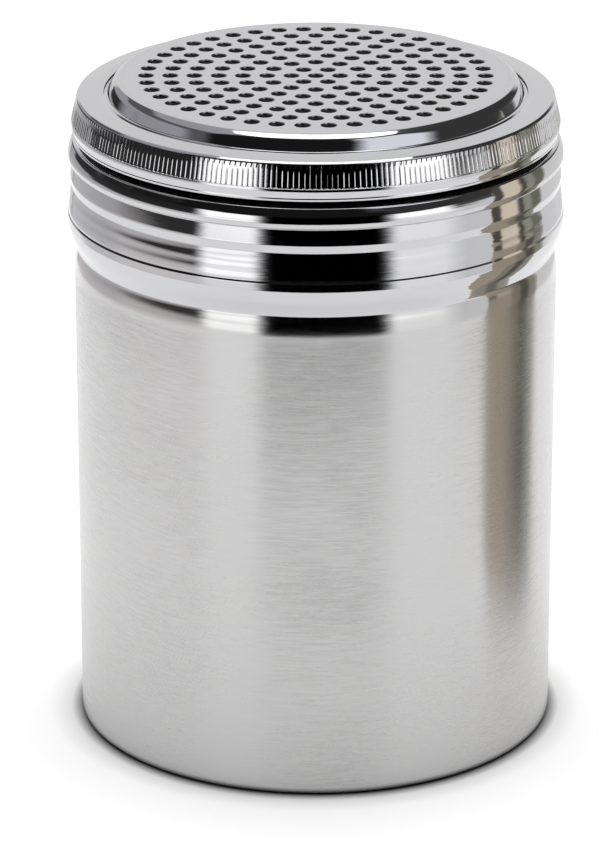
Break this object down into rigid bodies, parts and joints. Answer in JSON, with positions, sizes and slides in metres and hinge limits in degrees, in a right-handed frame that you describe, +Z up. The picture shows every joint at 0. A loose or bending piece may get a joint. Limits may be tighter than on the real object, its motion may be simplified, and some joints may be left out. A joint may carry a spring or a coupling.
{
  "type": "sugar dredger",
  "caption": "Round steel shaker can with a knurled screw ring that holds a raised perforated disc, for dusting icing sugar, cocoa or flour.",
  "frame": {"origin": "centre of the base, on the surface that the can stands on", "axes": "+Z up the can's axis; -Y towards the front of the picture; +X to its right"},
  "size_m": [0.07, 0.07, 0.095],
  "materials": {
    "satin_steel": "satin",
    "polished_steel": "polished"
  },
  "bodies": {
    "can": {"can": "satin_steel"},
    "disc": {"perforated_disc": "polished_steel"},
    "ring": {"screw_ring": "polished_steel"}
  },
  "joints": [
    {"name": "lid_rise", "type": "slide", "parent": "can", "child": "disc", "axis": [0, 0, 1], "range_m": [0, 0.00176]},
    {"name": "ring_turn", "type": "hinge", "parent": "disc", "child": "ring", "pos_m": [0, 0, 0.09], "axis": [0, 0, 1], "range_deg": [0, 315]}
  ],
  "couplings": [
    {"joint": "lid_rise", "follows": "ring_turn", "m_per_rad": 0.00031831}
  ]
}
